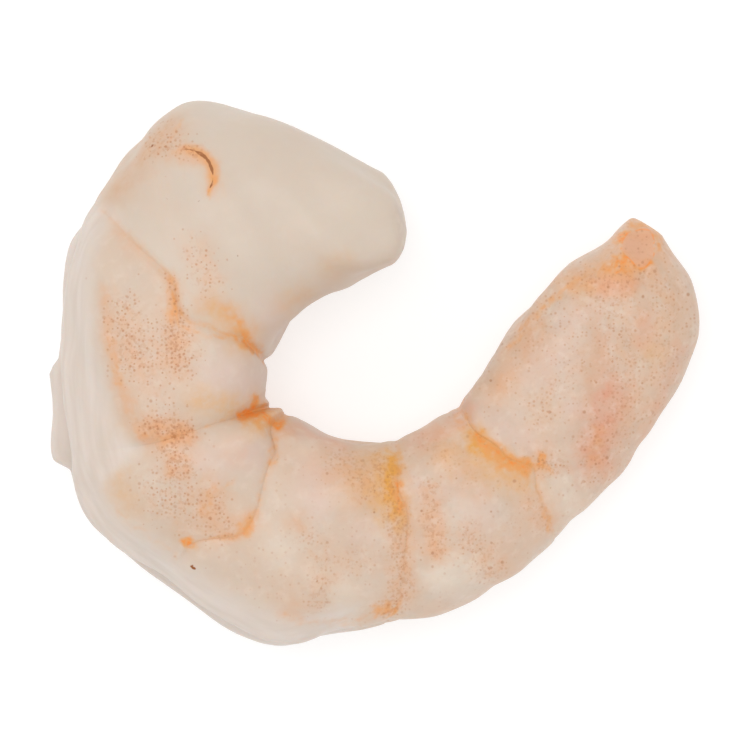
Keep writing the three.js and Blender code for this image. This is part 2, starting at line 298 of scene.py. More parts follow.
for i in range(cap_rows):
    add_cap_row(i, head_cap, 0, 0, -1)
for segment, count in enumerate(segment_rows):
    for i in range(count):
        even = i / count
        f = even - row_crowding / (2 * math.pi) * math.sin(2 * math.pi * even)
        grid_rows.append((segment, f, 1, 0))
for i in range(cap_rows, -1, -1):
    add_cap_row(i, tail_cap, last_segment, 1, 1)

row_segment, row_f, row_size, row_past = (np.array(column)[:, None] for column in zip(*grid_rows))
even_turn = np.arange(columns) / columns * 2 * math.pi
column_turn = even_turn - column_crowding / 2 * np.sin(2 * even_turn)
v = np.repeat(column_turn[None, :], len(grid_rows), 0)
f, size, segment = (np.broadcast_to(row, v.shape) for row in (row_f, row_size, row_segment))
t = 0.5 + 0.5 * np.cos(v)  # 0 at the belly, 1 at the back

lines = [np.zeros_like(t)] + [joint_line(joint, t) for joint in joints] + [np.full_like(t, last_ring)]
segment_start = np.choose(segment, lines[:-1])
segment_end = np.choose(segment, lines[1:])
u = mix(segment_start, segment_end, f)
length = (segment_end - segment_start) * stretch(u, t)
far = 99.0  # mm, further away than anything here reaches
to_head_joint = np.where(segment > 0, f * length, far)  # mm along the body to the nearest joint, each way
to_tail_joint = np.where(segment < last_segment, (1 - f) * length, far)

back_x, back_y, belly_x, belly_y, full_width = (along_rings(column, u) for column in range(5))
depth = np.hypot(back_x - belly_x, back_y - belly_y)
out_x, out_y = (back_x - belly_x) / depth, (back_y - belly_y) / depth
middle_x, middle_y = (back_x + belly_x) / 2, (back_y + belly_y) / 2
half_width = full_width / 2
ahead_x, ahead_y = plan_point(u + 0.1, 0.5)
behind_x, behind_y = plan_point(u - 0.1, 0.5)
step = np.hypot(ahead_x - behind_x, ahead_y - behind_y)
tail_x, tail_y = (ahead_x - behind_x) / step, (ahead_y - behind_y) / step

c, s = np.cos(v), np.sin(v)
fuller = 2 / section_fullness
across = depth / 2 * np.sign(c) * np.abs(c) ** fuller
up = half_width * np.sign(s) * np.abs(s) ** fuller * (1 - mix(*back_narrowing, u / last_ring) * c)
normal_size = np.hypot(c / (depth / 2), s / half_width)
normal_out, normal_up = c / (depth / 2) / normal_size, s / half_width / normal_size
plain_x, plain_y = middle_x + out_x * across, middle_y + out_y * across

belly_side = 1 - smooth_step(0.02, 0.3, t)
back_side = smooth_step(0.6, 0.98, t)
is_end = (segment == 0) | (segment == last_segment)
fullness = np.minimum(1, length / short_length)
end_share = np.where(is_end, 0.5, 1)  # the first and the last segment swell half as much
relief = end_share * segment_swell * fullness * np.abs(np.sin(math.pi * f)) ** 1.3

# The pigmented skin ends in a low step on either side of the slit. Past it the muscle is bare.
second_reach = mix(0.88, 0.6, f * f)
third_reach = mix(0.6, 0.82, smooth_step(0, 0.35, f))
skin_reach = np.choose(segment, [0.82, second_reach, third_reach, 0.82, 0.82, 0.82])
past_skin = smooth_step(-skin_edge["ramp"], skin_edge["ramp"], t - skin_reach)
bare = past_skin * inside(skin_edge, u, 0.4)
relief -= skin_edge["step"] * bare

# A segment's tailward edge of skin laps over the next segment.
overlap = overlap_step * (1 - belly_side) * (1 - bare) * smooth_step(0.5, 0.95, f)
relief += np.where(segment < last_segment, overlap, 0)

# Round lobes of muscle stand above the places of the legs.
lobe_share = np.choose(segment, [0, 1, 1, 1, 1, 0.3]) * fullness
lobes = lobe_share * hump(t - lobe["at"], lobe["spread"]) * hump(f - 0.5, lobe["half_length"])
relief += lobe["height"] * lobes

# A crease follows each joint, deepest where the belly folds.
folds = np.array([joint["fold"] for joint in joints])
for distance, index in ((to_head_joint, segment - 1), (to_tail_joint, segment)):
    fold = folds[np.clip(index, 0, len(joints) - 1)]
    crease_depth = mix(mix(crease["flank"], fold, belly_side), crease["back"], back_side)
    relief -= crease_depth * (1 - bare_softening * bare) * hump(distance, crease["half_width"])

# The belly has a furrow along its middle, where the nerve cord ran.
furrow = hump(math.pi - v, belly_furrow["half_angle"])
relief -= belly_furrow["depth"] * furrow * inside(belly_furrow, u, 1)

# The head cut shows the ends of the muscles, as a ring of lobes.
bundles = np.cos(neck_bundles["count"] * v + neck_bundles["turn"])
relief += neck_bundles["height"] * bundles * (1 - smooth_step(0, neck_bundles["fade"], u))

# The slit that took out the vein, between lips that its cut lifted.
signed = np.where(v > math.pi, v - 2 * math.pi, v)
from_slit = np.abs((signed - vein_slit["angle"]) * half_width)
slit_open = inside(vein_slit, u, vein_slit["taper"])
relief -= vein_slit["depth"] * slit_open * np.exp(-((from_slit / vein_slit["half_width"]) ** 1.4))
lips = hump(from_slit - vein_slit["lip_at"], vein_slit["lip_half_width"])
relief += vein_slit["lip"] * slit_open * lips
lip_share = smooth_step(*far_lip["rise"], u) * (1 - smooth_step(*far_lip["fall"], u))
lip_height = lip_share * mix(*far_lip["heights"], smooth_step(*far_lip["swell"], u))
relief += lip_height * hump(signed - far_lip["angle"], far_lip["spread"])

# A fold runs along the belly edge of the tail segment up to its tip.
from_fold = (t - tail_fold["at"]) * depth
relief -= tail_fold["depth"] * hump(from_fold, tail_fold["half_width"]) * inside(tail_fold, u, 1)
relief -= tip_waist["depth"] * back_side * hump(u - tip_waist["at"], tip_waist["spread"])

# The tail fan's socket left a small round dish with a rim, on the upper side of the tip.
from_scar = np.hypot(plain_x - tail_scar["x"], plain_y - tail_scar["y"]) / tail_scar["radius"]
scar_side = smooth_step(0, 0.5, s)
scar_relief = tail_scar["rim"] * hump(from_scar - 1, tail_scar["rim_spread"])
scar_relief -= tail_scar["depth"] * hump(from_scar, tail_scar["dish_spread"])
relief += scar_side * scar_relief

# Meat is nowhere quite even.
waves = np.sin(0.61 * plain_x + 0.47 * plain_y + 0.9 * up + 0.7)
waves += 0.7 * np.sin(0.93 * plain_y - 0.38 * plain_x - 0.71 * up + 2.1)
waves += 0.5 * np.sin(1.31 * plain_x + 0.83 * up + 1.07 * plain_y + 4)
relief += unevenness * waves

relief = relief * size
reach = across * size + normal_out * relief
x = middle_x + out_x * reach + tail_x * row_past
y = middle_y + out_y * reach + tail_y * row_past
z = up * size + normal_up * relief + half_width - flat_sink
z += neck_lift["height"] * (1 - smooth_step(neck_lift["start"], neck_lift["end"], u))
z += tail_lift["height"] * smooth_step(tail_lift["start"], tail_lift["end"], u)
z = np.maximum(0, z)

# The solid's outline is centred on the origin, and so is this one.
x = x - (x.max() + x.min()) / 2
y = y - (y.max() + y.min()) / 2

# The mesh is a closed grid of rings with a pole at each end.
points = np.stack([x, y, z], -1)
vertices = np.concatenate([points[:1, 0], points[1:-1].reshape(-1, 3), points[-1:, 0]]) * mm
ring_count = len(grid_rows) - 2
row_starts = 1 + np.arange(ring_count - 1)[:, None] * columns
here = row_starts + np.arange(columns)[None, :]
beside = row_starts + (np.arange(columns)[None, :] + 1) % columns
quads = np.stack([here, here + columns, beside + columns, beside], -1).reshape(-1, 4)
head_ring = 1 + np.arange(columns)
tail_ring = head_ring + (ring_count - 1) * columns
head_fan = np.stack([np.zeros(columns, int), head_ring, np.roll(head_ring, -1)], -1)
tail_fan = np.stack([np.full(columns, len(vertices) - 1), np.roll(tail_ring, -1), tail_ring], -1)

meat_mesh = bpy.data.meshes.new("shrimp_meat")
meat_mesh.from_pydata(vertices.tolist(), [], head_fan.tolist() + quads.tolist() + tail_fan.tolist())
meat = bpy.data.objects.new("shrimp_meat", meat_mesh)
bpy.context.scene.collection.objects.link(meat)


# The pigment of the skin
# Cooking turned the pigment cells orange to red-brown. They gather along the joints and the torn edges of
# the skin, and lie as fine dots on the flanks. What the slit bared is white muscle without any.

# Marks on a flank, seen from above: points in mm, half width in mm and strength. One point is a spot.
marks = {
    "stain": [
        ([(-20.9, 6.4), (-20.6, 4.6), (-20.2, 3.2)], 0.6, 0.14),
        ([(-20.1, 2.4), (-19.8, 1.0), (-19.5, -0.8)], 0.55, 0.36),
        ([(-19.3, -1.2), (-18.5, -3.2), (-17.2, -5.3)], 0.45, 0.18),
        ([(-15.3, 6.3), (-15.4, 4.4)], 0.5, 0.6),
        ([(-15.0, 3.6), (-12.9, 3.0), (-11.2, 2.8), (-9.6, 2.1)], 0.3, 0.35),
        ([(-9.1, -2.0), (-9.5, -2.9)], 0.4, 0.95),
        ([(-9.9, -3.2), (-9.4, -3.1)], 0.6, 1.2),
        ([(-9.4, -3.2), (-8.2, -3.4)], 0.7, 0.7),
        ([(-8.5, -3.3), (-7.2, -3.9)], 0.5, 1.0),
        ([(-7.9, -4.4), (-7.5, -6.8)], 0.4, 0.38),
        ([(-11.2, 4.8), (-10.4, 3.6), (-9.6, 2.4)], 0.9, 0.3),
        ([(-10.5, 4.3), (-9.9, 3.2), (-9.3, 2.1)], 0.35, 0.6),
        ([(-11.0, 2.9), (-9.9, 2.3)], 0.35, 0.6),
        ([(-9.9, 2.7), (-9.2, 1.8)], 0.55, 0.85),
        ([(-14.5, -12.9), (-14.2, -13.0)], 0.4, 1.0),
        ([(-12.4, -8.8), (-13.0, -10.4)], 0.6, 0.4),
        ([(-10.6, -8.0), (-12.4, -9.6)], 0.4, 0.3),
        ([(-19.7, -10.7), (-17.8, -12.0), (-15.3, -14.0)], 0.35, 0.22),
        ([(-7.0, -18.6), (-5.4, -19.0), (-2.5, -19.2), (0.6, -18.6)], 0.5, 0.27),
        ([(0.3, -18.4), (1.5, -17.9)], 0.6, 0.55),
        ([(1.8, -8.2), (2.0, -10.4)], 0.35, 0.75),
        ([(1.5, -8.8), (1.7, -10.2)], 0.6, 0.4),
        ([(7.8, -4.8), (9.6, -6.2), (11.6, -7.2)], 0.45, 0.85),
        ([(8.6, -5.7), (9.8, -6.7), (11.4, -7.5)], 0.75, 0.6),
        ([(11.9, -7.5), (13.0, -6.4)], 0.4, 0.75),
        ([(12.6, -6.7), (13.6, -7.5)], 0.35, 0.6),
        ([(6.4, -3.0), (6.9, -4.2)], 0.4, 0.35),
        ([(11.2, -8.6), (12.6, -9.2)], 0.35, 0.3),
        ([(13.1, -10.6), (13.6, -12.0)], 0.35, 0.45),
        ([(18.7, 8.5), (17.2, 8.2), (15.6, 7.3), (13.5, 5.5), (11.6, 3.6), (10.6, 2.2)], 0.42, 0.42),
        ([(18.4, 6.6), (16.9, 6.3), (15.3, 6.4)], 0.22, 0.25),
        ([(19.6, 10.9), (18.9, 10.2)], 0.4, 0.95),
        ([(19.3, 9.2), (19.3, 7.8)], 0.36, 0.95),
        ([(18.8, 9.0), (18.8, 7.8)], 0.3, 0.9),
        ([(18.3, 8.7), (18.3, 7.9)], 0.22, 0.6),
        ([(17.8, 8.1), (19.6, 8.2)], 0.85, 0.62),
        ([(19.7, 8.5), (20.4, 8.2), (21.4, 8.6)], 0.25, 0.8),
        ([(22.1, 9.5), (22.0, 10.2)], 0.3, 0.7),
        ([(20.2, 11.7), (21.4, 11.6), (22.1, 10.8)], 0.6, 0.52),
        ([(17.4, -4.4), (17.0, -6.7)], 0.8, 0.34),
        ([(-12.3, 15.2), (-12.5, 13.8)], 0.3, 0.6),
        ([(-13.4, 17.3), (-12.4, 16.8), (-12.0, 15.6)], 0.4, 0.3),
        ([(-14.8, 19.5), (-15.8, 17.8)], 0.25, 0.3),
    ],
    "blush": [
        ([(-20.2, 14.6), (-18.4, 16.8), (-16.2, 18.8)], 1.9, 0.3),
        ([(-17.6, 14.6), (-15.6, 12.0)], 1.6, 0.1),
        ([(-15.6, 16.9), (-12.6, 16.2), (-12.2, 14.2)], 0.7, 0.5),
        ([(-20.8, 12.2), (-18.2, 9.4), (-16.6, 7.6)], 0.7, 0.35),
        ([(-13.4, 9.6), (-12.8, 7.2)], 1.4, 0.3),
        ([(-6.9, 5.2), (-5.8, 5.6)], 0.9, 0.15),
        ([(-3.2, 7.6)], 1.3, 0.08),
        ([(-12.8, 5.4), (-11.2, 4.4), (-10.0, 2.8)], 1.2, 0.5),
        ([(-15.4, 6.8), (-15.3, 4.2)], 0.9, 0.6),
        ([(-15.2, 2.8), (-15.4, 1.2)], 1.6, 0.7),
        ([(-20.6, 6.0), (-20.2, 2.8), (-19.4, -1.0), (-17.6, -4.8)], 0.8, 0.5),
        ([(-19.0, 3.2), (-17.4, 0.0)], 1.8, 0.45),
        ([(-17.2, -4.4), (-14.8, -4.8)], 1.3, 1.15),
        ([(-15.4, -5.6), (-14.9, -7.2)], 1.1, 0.9),
        ([(-10.8, -6.2)], 1.4, 0.25),
        ([(-12.8, -9.0), (-12.0, -11.6)], 1.8, 0.5),
        ([(-9.8, -11.2), (-12.4, -12.6)], 1.1, 0.5),
        ([(-9.0, -3.0), (-7.0, -4.2)], 0.9, 0.6),
        ([(1.8, -8.0), (2.4, -12.5), (2.0, -16.6)], 1.1, 0.4),
        ([(-5.0, -12.6), (-3.6, -14.8), (-4.4, -17.4)], 1.1, 0.06),
        ([(-3.2, -6.8), (-0.8, -8.6)], 1.8, 0.5),
        ([(-5.9, -11.2)], 0.9, 0.4),
        ([(-6.2, -18.2)], 1.2, 0.4),
        ([(4.4, -9.4), (4.8, -13.6)], 1.1, 0.6),
        ([(7.4, -12.8), (9.6, -15.0)], 1.6, 0.25),
        ([(5.0, -6.0), (7.6, -8.6)], 1.6, 0.4),
        ([(4.6, -4.8), (6.2, -4.0)], 1.0, 0.4),
        ([(12.4, -10.0), (13.2, -11.6)], 1.2, 0.4),
        ([(13.0, -6.6)], 1.4, 0.45),
        ([(21.2, 6.6), (21.6, 0.6), (18.8, -6.4)], 2.4, 0.3),
        ([(15.6, 6.9), (19.6, 7.2)], 1.3, 0.85),
        ([(12.6, 3.6), (9.4, -1.6)], 1.0, 0.5),
        ([(20.6, 9.9)], 2.4, 0.95),
    ],
    "yellow": [
        ([(1.4, -6.6), (1.1, -8.8), (1.6, -10.4)], 0.8, 1.2),
        ([(1.9, -10.6), (2.1, -11.8)], 0.5, 0.6),
        ([(0.9, -7.0), (0.4, -8.8), (1.0, -10.2)], 1.5, 0.6),
        ([(-0.4, -7.0), (-0.4, -8.4)], 1.6, 0.35),
        ([(7.9, -4.9), (8.4, -5.8)], 0.8, 1.15),
        ([(8.4, -5.5), (9.8, -6.5), (11.4, -7.3)], 0.75, 1.0),
        ([(8.0, -6.6), (9.6, -7.6), (11.0, -8.1)], 1.3, 0.45),
        ([(6.0, -6.0)], 1.5, 0.3),
        ([(-13.2, -2.0), (-11.0, -2.5)], 1.1, 0.45),
        ([(-20.2, -4.6), (-20.0, -8.0), (-19.4, -10.6)], 1.6, 0.28),
        ([(-8.8, -3.2)], 1.3, 0.8),
        ([(-10.2, 3.0)], 1.2, 0.4),
        ([(-12.2, 5.0), (-11.0, 4.0)], 1.1, 0.4),
        ([(16.2, 6.7)], 0.8, 0.25),
        ([(-3.6, 8.3), (-2.2, 8.7)], 0.9, 0.16),
        ([(-6.9, 5.5), (-5.4, 6.2)], 0.9, 0.2),
        ([(21.6, 1.6)], 0.8, 0.3),
        ([(7.8, -5.4), (8.8, -6.2)], 0.7, 1.2),
    ],
    "rose": [
        ([(18.0, -1.6), (17.6, -3.8), (17.0, -6.6)], 1.7, 1.0),
        ([(17.7, -3.2), (17.2, -6.4)], 1.1, 1.0),
        ([(17.6, 2.6), (17.6, -0.6)], 0.9, 0.35),
        ([(20.8, 4.6), (20.6, 2.6)], 0.7, 0.45),
        ([(17.8, 6.6), (19.6, 6.8)], 0.9, 0.5),
        ([(-6.6, -4.2), (-4.6, -4.6), (-2.6, -5.6)], 0.7, 0.5),
        ([(3.4, -5.0), (5.6, -4.2), (7.2, -2.6)], 0.9, 0.55),
        ([(23.8, 2.0), (20.4, -6.6)], 0.7, 0.4),
    ],
    "pale": [
        ([(-8.0, 4.6), (-7.2, 3.2)], 1.6, 0.6),
        ([(-11.6, -0.2), (-9.6, -0.8)], 1.7, 0.95),
        ([(-12.6, -6.6), (-9.4, -6.0)], 1.5, 0.7),
        ([(-4.7, -7.6), (-4.4, -9.8)], 1.5, 0.8),
        ([(-0.5, -12.0)], 1.4, 0.6),
        ([(6.4, -9.6), (8.0, -10.8)], 1.7, 0.7),
        ([(3.2, -8.0), (3.6, -9.4)], 0.9, 0.6),
        ([(14.8, 4.0), (16.6, 4.6)], 1.2, 0.7),
        ([(12.4, 0.4), (14.6, 1.6)], 1.7, 0.6),
        ([(9.4, -3.6), (11.6, -5.4)], 1.5, 0.65),
        ([(15.2, -2.6)], 0.8, 0.7),
    ],
    "speck": [
        ([(-14.1, -14.8), (-13.8, -14.9)], 0.2, 1.0),
        ([(-15.7, 17.2)], 0.2, 0.8),
        ([(-15.7, 17.9)], 0.18, 0.7),
        ([(-17.1, 17.6)], 0.18, 0.7),
        ([(-12.35, 14.9), (-12.45, 14.3)], 0.16, 0.65),
        ([(-10.7, 9.2)], 0.2, 0.7),
    ],
    # Cream: partly the flesh's own opaque cream, partly painted light. The strokes at the neck end and on the
    # belly sides of the fourth and fifth segments lighten surfaces that turn away from the light, to cancel
    # their shade.
    "cream_and_painted_light": [
        ([(5.0, -15.6), (7.2, -15.0)], 1.5, 0.8),
        ([(14.2, -8.8), (15.2, -9.8)], 1.6, 0.5),
        ([(22.4, 3.0), (20.8, -2.0)], 1.3, 0.3),
        ([(-2.0, 13.0), (0.6, 11.0)], 2.6, 0.35),
        ([(-4.8, -5.2), (-3.0, -5.6)], 1.0, 0.5),
        ([(6.6, -10.2)], 1.6, 0.4),
        ([(4.4, -4.8), (6.0, -4.2)], 1.2, 0.55),
        ([(-2.4, -16.4)], 1.4, 0.4),
        ([(-4.7, -15.4)], 1.3, 0.35),
        ([(-7.2, -13.6)], 1.6, 0.4),
        ([(0.4, -12.4)], 1.0, 0.3),
    ],
    "tan": [
        ([(-20.6, 14.2), (-18.6, 16.6), (-16.6, 19.2)], 1.8, 0.75),
        ([(-6.1, -11.2)], 0.9, 0.5),
        ([(16.4, 5.2), (17.2, 1.4), (16.4, -1.6)], 0.7, 0.4),
        ([(-16.0, -10.4), (-14.6, -12.0)], 1.2, 0.3),
        ([(20.4, 8.0), (22.6, 7.0), (24.2, 3.0)], 0.9, 0.15),
        ([(24.2, 3.0), (22.0, -4.6), (18.0, -9.0)], 0.9, 0.1),
    ],
    "dots": [
        ([(-15.2, 2.8), (-15.0, 1.2)], 1.5, 1.0),
        ([(-19.2, 4.6), (-18.4, 1.0)], 1.5, 0.75),
        ([(-17.0, 2.4)], 2.2, 0.6),
        ([(-17.0, -0.8), (-16.0, -2.6)], 1.6, 0.35),
        ([(-17.0, -4.0), (-14.6, -4.4)], 1.0, 1.0),
        ([(-15.4, -5.4), (-14.8, -7.4)], 1.2, 1.0),
        ([(-16.2, -9.0), (-14.0, -10.0)], 2.0, 0.6),
        ([(-12.4, -9.6), (-11.6, -12.0)], 1.2, 0.6),
        ([(-13.6, 9.4), (-12.8, 7.0)], 1.1, 0.55),
        ([(-17.2, 17.4), (-15.6, 18.2)], 1.1, 0.55),
        ([(-16.2, 17.4), (-13.4, 17.0)], 0.4, 1.0),
        ([(-15.4, 6.8), (-15.0, 4.6)], 0.7, 0.6),
        ([(-5.0, -12.4), (-3.6, -14.8), (-4.4, -17.6)], 1.1, 0.55),
        ([(-1.4, -14.6)], 2.0, 0.4),
        ([(0.6, -7.0), (1.8, -11.0), (2.2, -16.4), (1.4, -18.0)], 1.1, 0.8),
        ([(-2.6, -6.6), (-0.6, -8.6)], 1.4, 0.65),
        ([(4.2, -9.0), (4.8, -13.6)], 0.9, 0.8),
        ([(7.2, -12.4), (8.8, -15.2)], 1.5, 0.6),
        ([(4.6, -6.0), (6.6, -7.2)], 1.3, 0.4),
        ([(10.8, -11.6)], 1.4, 0.35),
        ([(12.8, -6.8), (14.2, -7.2)], 1.0, 0.7),
        ([(12.2, -10.0), (13.0, -11.6)], 0.9, 0.5),
        ([(18.6, 5.4), (19.6, -1.6), (17.2, -6.6)], 2.4, 0.55),
        ([(22.4, 7.0), (22.6, 0.0)], 1.6, 0.5),
        ([(15.6, 0.6), (12.8, -2.6)], 2.0, 0.4),
        ([(16.4, 7.0), (21.6, 7.6)], 0.9, 0.65),
    ],
}


def to_stroke(stroke, px, py):
    """Distance in mm of places in plan from a line through points."""
    ends = stroke * 2 if len(stroke) == 1 else stroke
    nearest = np.full(px.shape, far)
    for (ax, ay), (bx, by) in zip(ends, ends[1:]):
        dx, dy = bx - ax, by - ay
        share = np.clip(((px - ax) * dx + (py - ay) * dy) / max(dx * dx + dy * dy, 1e-9), 0, 1)
        nearest = np.minimum(nearest, np.hypot(px - ax - dx * share, py - ay - dy * share))
    return nearest


# The edges of the marks wander. On the flank underneath they lie much like on the upper one, but not alike.
wander = 0.1  # mm
underneath_shift = 0.9  # mm
underneath = smooth_step(0.15, -0.15, s)
wave_x = np.sin(2.3 * x + 1.7 * y) + np.sin(4.9 * y - 2.1 * x + 1) + 0.6 * np.sin(9.1 * x + 3.3 * y)
wave_y = np.sin(2.7 * y - 1.3 * x + 2) + np.sin(5.3 * x + 2.2 * y) + 0.6 * np.sin(8.3 * y - 4.1 * x)
mark_x = x + wander * wave_x + underneath * underneath_shift * np.sin(0.7 * y + 1)
mark_y = y + wander * wave_y + underneath * underneath_shift * np.sin(0.8 * x)
fields = {}
for kind, strokes in marks.items():
    field = np.zeros_like(x)
    for stroke, half, strength in strokes:
        field = np.maximum(field, strength * hump(to_stroke(stroke, mark_x, mark_y), half))
    fields[kind] = field

# What was left of the vein is a thin brown line on the neck, an arc that the finish draws. It fades out at
# its ends, where it breaks up into dots.
vein_arc = dict(x=-14.5, y=15.1, radius=2.16, angle=0.72, spread=1.1)
vein_angle = np.arctan2(y - vein_arc["y"], x - vein_arc["x"])
fields["vein"] = hump(vein_angle - vein_arc["angle"], vein_arc["spread"]) * (1 - underneath)
fields["vein"] *= hump(np.hypot(x - vein_arc["x"], y - vein_arc["y"]) - vein_arc["radius"], 1.5)

# The scar is an egg-shaped facet. Its field falls off evenly from the middle too.
scar_middle, scar_half_size = (20.5, 9.8), (1.2, 1.4)
off_scar = np.hypot((x - scar_middle[0]) / scar_half_size[0], (y - scar_middle[1]) / scar_half_size[1])
scar_angle = np.arctan2(y - scar_middle[1], x - scar_middle[0])
off_scar *= 1 + 0.09 * np.sin(3 * scar_angle + 2.2) + 0.05 * np.sin(5 * scar_angle)
fields["scar"] = np.maximum(0, 2 - off_scar) / 2 * (1 - underneath)

# The joints' orange follows their creases on both flanks and across the belly.
ragged = 1 + 0.3 * np.sin(3.1 * x + 1.9 * y + 2.3 * z) * np.sin(2.3 * y - 1.7 * z + 0.6)
for index, joint in enumerate(joints):
    half = profile(joint["stain"], t) * ragged
    strength = profile(joint["stain"], t, 2)
    for distance, neighbour in ((to_head_joint, index + 1), (to_tail_joint, index)):
        line = np.where(segment == neighbour, strength * hump(distance, half), 0)
        fields["stain"] = np.maximum(fields["stain"], line)

# How much skin lies on each segment: hardly any on the head end, all of it on the tail. Bare muscle has
# none, and its marks are fainter.
skin = np.choose(segment, [0.1, 0.5, 0.6, 0.75, 0.85, 1.0])
fields["skin"] = skin * (1 - bare)
for kind in ("blush", "dots", "yellow", "rose"):
    fields[kind] = fields[kind] * (1 - bare_softening * bare)
# The single dark specks are on the upper flank only. From the middle of the third segment on, a thin
# scatter of dots lies everywhere on the skin.
fields["speck"] = fields["speck"] * (1 - underneath)
thin_dots = (0.12 * smooth_step(7.6, 9, u) + 0.16 * smooth_step(12.6, 14, u)) * (1 - bare)
fields["dots"] = np.maximum(fields["dots"], thin_dots)
# How strong the dots are on each segment.
fields["dot_depth"] = np.choose(segment, [1.0, 1.0, 0.9, 0.62, 0.62, 0.8])
fields["bare"] = bare
# Pale flecks: partly the pale grain of the flesh, partly painted highlights that stand in for the small
# glints of its moist surface.
fields["fleck_and_painted_glint"] = np.choose(segment, [0.04, 0.18, 0.16, 0.1, 0.06, 0.0]) * (1 - bare)
# Where a place lies along the body and round it, in mm, for the fibres.
fields["along"] = (u - 6) * stretch(np.full_like(u, 6), t)
fields["round"] = signed * half_width
# The flanks face up and down, and the back and belly sideways.
fields["flank"] = smooth_step(0.3, 0.6, np.abs(normal_up) / np.hypot(normal_out, normal_up))
# On the neck's sides the tan and the blush are fainter.
neck_side_fade = 0.65
neck_side = (1 - smooth_step(4, 5, u)) * (1 - fields["flank"])
for kind in ("tan", "blush"):
    fields[kind] = fields[kind] * (1 - neck_side_fade * neck_side)
# The face of the head cut, which shows the ends of the muscle fibres.
fields["cut"] = np.broadcast_to(smooth_step(0.2, 1.3, -row_past), u.shape)

for name, field in fields.items():
    values = np.concatenate([field[:1, 0], field[1:-1].ravel(), field[-1:, 0]]).astype(np.float32)
    meat_mesh.attributes.new(name, "FLOAT", "POINT").data.foreach_set("value", values)


# The finish of the meat
# Cooked shrimp flesh: firm white muscle under a thin moist skin, slightly translucent. It looks satin, with
# soft edges to all its colours, and only the pigment dots are crisp.
flesh = bpy.data.materials.new("cooked_shrimp_flesh")
flesh.use_nodes = True
tree = flesh.node_tree
shader = tree.nodes["Principled BSDF"]
place = add_node(tree, "ShaderNodeTexCoord").outputs["Object"]


def amount(name):
    """A field of the mesh, as a socket."""
    return add_node(tree, "ShaderNodeAttribute", dict(attribute_name=name)).outputs["Fac"]


def maths(operation, *values):
    return add_node(tree, "ShaderNodeMath", dict(operation=operation), dict(enumerate(values))).outputs[0]


def noise(size_mm, detail=3.0):
    """Soft irregular noise of a size in mm, about 0.5 on the average."""
    node = add_node(tree, "ShaderNodeTexNoise", None, {
        "Vector": place, "Scale": 1 / (size_mm * mm), "Detail": detail})
    return node.outputs["Fac"]


def spread(value, low, high, lowest=0.0, highest=1.0):
    """Stretches what lies between low and high over lowest to highest, with soft ends."""
    node = add_node(tree, "ShaderNodeMapRange", dict(interpolation_type="SMOOTHSTEP"), {
        "Value": value, "From Min": low, "From Max": high, "To Min": lowest, "To Max": highest})
    return node.outputs["Result"]


def tint(under_colour, over_colour, share):
    """One colour laid over another."""
    colours = [c if isinstance(c, bpy.types.NodeSocket) else linear(c) for c in (under_colour, over_colour)]
    node = add_node(tree, "ShaderNodeMix", dict(data_type="RGBA"), {0: share, 6: colours[0], 7: colours[1]})
    return node.outputs[2]


def feathered(name, size_mm):
    """A field whose edges fade unevenly, in shreds of a size in mm, as a stain's in flesh do."""
    shreds = maths("MULTIPLY_ADD", noise(size_mm, 4.0), 2.1, -0.05)  # about 1 on the average
    return maths("MULTIPLY", amount(name), shreds)


def specks(spacing_mm, radius_mm, density, dimensions):
    """Round dots at random places, where density, from 0 to 1, is the share of them that is there. In two
    dimensions they are spread evenly as seen from above."""
    cells = add_node(tree, "ShaderNodeTexVoronoi", dict(voronoi_dimensions=dimensions), {
        "Vector": place, "Scale": 1 / (spacing_mm * mm), "Randomness": 0.85})
    pick = add_node(tree, "ShaderNodeSeparateColor", None, {0: cells.outputs["Color"]})
    there = maths("LESS_THAN", pick.outputs[0], density)
    radius = maths("MULTIPLY", maths("MULTIPLY_ADD", pick.outputs[1], 0.6, 0.6), radius_mm / spacing_mm)
    dots = spread(maths("DIVIDE", cells.outputs["Distance"], radius), 0.4, 1.3, 1.0, 0.0)
    return maths("MULTIPLY", maths("MULTIPLY", dots, there), maths("MULTIPLY_ADD", pick.outputs[2], 0.6, 0.4))


flesh_cream = "#d0c1b2"
skin_peach = "#d3b69f"
pale_fleck_and_painted_glint = "#e6d6c8"
pale_pink = "#d6beb3"
muscle_white = "#dacdc3"
fibre_grey = "#c8b8aa"
blush_peach = "#dca377"
blood_rose = "#d89678"
fat_yellow = "#dc9f4c"
stain_orange = "#df9d5e"
knot_orange = "#ea8d3b"
vein_brown = "#95582e"
dot_orange = "#b97a4e"
dot_brown = "#ad6e40"
scar_peach = "#dba582"
# The cream of the flesh, also used as painted light on shaded places.
cream_and_painted_light_colour = "#e0d2c2"
skin_tan = "#c6a385"
wet_grey = "#bba592"
milky_white = "#e8dacd"

skin_share = maths("MULTIPLY", amount("skin"), spread(noise(3.5), 0.35, 0.65, 0.45, 1))
colour = tint(flesh_cream, skin_peach, skin_share)
colour = tint(colour, pale_pink, maths("MULTIPLY", amount("pale"), 0.75))
